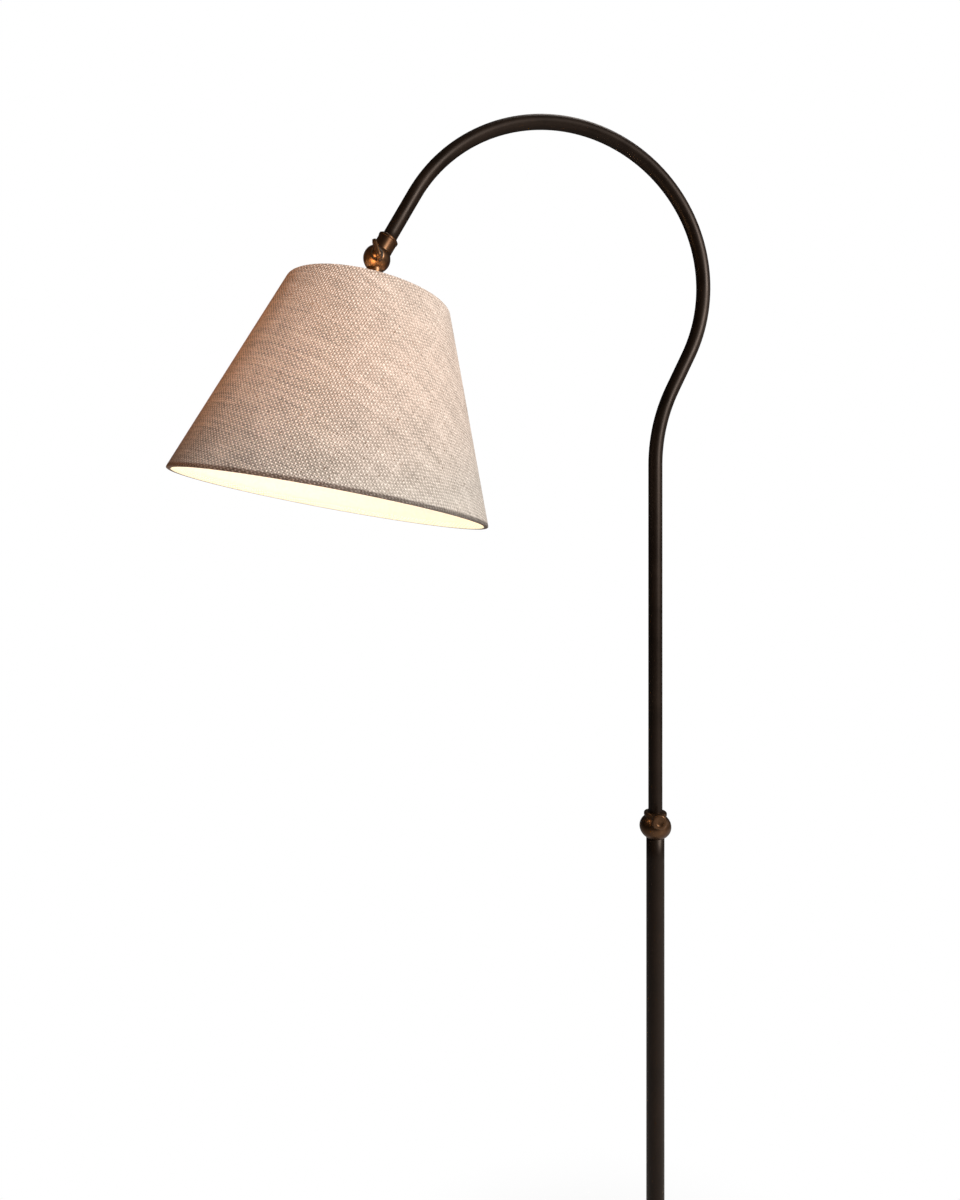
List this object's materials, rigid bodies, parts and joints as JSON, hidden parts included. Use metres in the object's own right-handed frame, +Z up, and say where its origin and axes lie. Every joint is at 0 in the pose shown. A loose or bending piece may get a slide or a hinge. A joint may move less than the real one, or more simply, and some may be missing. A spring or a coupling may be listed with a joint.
{
  "type": "bridge floor lamp",
  "caption": "Floor lamp with a round weighted base, a telescopic stem with a clamp collar, a crook arm and a tilting empire linen shade.",
  "frame": {"origin": "on the floor, below the stem's axis, at the underside of the base's felt pad", "axes": "+Z up along the stem; the arm lies in the XZ plane with the shade towards -X; the thumbscrews face -Y"},
  "size_m": [0.5968, 0.2998, 1.41],
  "materials": {
    "felt": "matt wool felt",
    "cast_iron": "as cast",
    "bronze_paint": "semi-gloss dark bronze paint",
    "steel": "zinc plated",
    "antique_brass": "darkened antique brass, brushed",
    "bare_brass": "plain",
    "nylon": "natural",
    "rubber": "matt",
    "fibre": "vulcanised fibre",
    "porcelain": "glazed",
    "black_plastic": "moulded phenolic",
    "white_wire": "cream enamel",
    "liner": "smooth styrene sheet",
    "linen": "coarse plain-weave linen",
    "nickel": "rolled",
    "bulb_glass": "clear",
    "filament": "coated filament rods"
  },
  "bodies": {
    "stand": {"base_felt": "felt", "base_weight": "cast_iron", "base_cover": "bronze_paint", "base_nipple": "steel", "base_washer": "steel", "base_nut": "antique_brass", "cord_bush": "rubber", "foot_ring": "antique_brass", "tube_plug": "steel", "lower_tube": "bronze_paint", "collar_ball": "antique_brass"},
    "clamp_pad": {"collar_pad": "nylon"},
    "clamp_screw": {"collar_thumbscrew": "antique_brass"},
    "slider": {"guide_bush": "nylon"},
    "arm": {"bush_keepers": "steel", "arm_tube": "bronze_paint", "swivel_socket": "antique_brass", "swivel_arm_screw": "steel"},
    "tilt_washer": {"swivel_washer": "steel"},
    "tilt_screw": {"swivel_thumbscrew": "antique_brass"},
    "lamp": {"swivel_half": "antique_brass", "friction_ring": "fibre", "holder_nipple": "steel", "holder_nut": "antique_brass", "holder_cap": "antique_brass", "holder_sleeve": "antique_brass", "holder_insulator": "porcelain", "holder_terminals": "bare_brass", "screw_socket": "bare_brass", "centre_contact": "bare_brass", "switch_shaft": "steel", "shade_ring_nut": "black_plastic", "shade_carrier": "white_wire", "shade_bottom_ring": "white_wire", "shade_liner": "liner", "shade_linen": "linen", "bulb_cap": "nickel", "bulb_contact": "steel", "bulb_glass": "bulb_glass", "bulb_stem": "bulb_glass", "bulb_filaments": "filament"},
    "switch": {"switch_knob": "black_plastic"}
  },
  "joints": [
    {"name": "height_slide", "type": "slide", "parent": "stand", "child": "slider", "axis": [0, 0, 1], "range_m": [-0.33, 0.12]},
    {"name": "arm_swivel", "type": "hinge", "parent": "slider", "child": "arm", "pos_m": [0, 0, 0.7], "axis": [0, 0, 1], "range_deg": [-175, 175]},
    {"name": "shade_tilt", "type": "hinge", "parent": "arm", "child": "lamp", "pos_m": [-0.27912, 0, 1.25838], "axis": [0, 1, 0], "range_deg": [-30, 80]},
    {"name": "clamp_pad_travel", "type": "slide", "parent": "stand", "child": "clamp_pad", "axis": [-0.1564, -0.9877, 0], "range_m": [0, 0.0016]},
    {"name": "clamp_screw_turn", "type": "hinge", "parent": "clamp_pad", "child": "clamp_screw", "pos_m": [0, 0, 0.7105], "axis": [-0.1564, -0.9877, 0], "range_deg": [0, 720]},
    {"name": "tilt_washer_travel", "type": "slide", "parent": "arm", "child": "tilt_washer", "axis": [0, -1, 0], "range_m": [0, 0.0016]},
    {"name": "tilt_screw_turn", "type": "hinge", "parent": "tilt_washer", "child": "tilt_screw", "pos_m": [-0.27912, 0, 1.25838], "axis": [0, -1, 0], "range_deg": [0, 720]},
    {"name": "switch_turn", "type": "hinge", "parent": "lamp", "child": "switch", "pos_m": [-0.29127, 0, 1.18945], "axis": [0, -1, 0], "continuous": true}
  ],
  "couplings": [
    {"joint": "clamp_pad_travel", "follows": "clamp_screw_turn", "m_per_rad": 0.00012732},
    {"joint": "tilt_washer_travel", "follows": "tilt_screw_turn", "m_per_rad": 0.00012732}
  ]
}
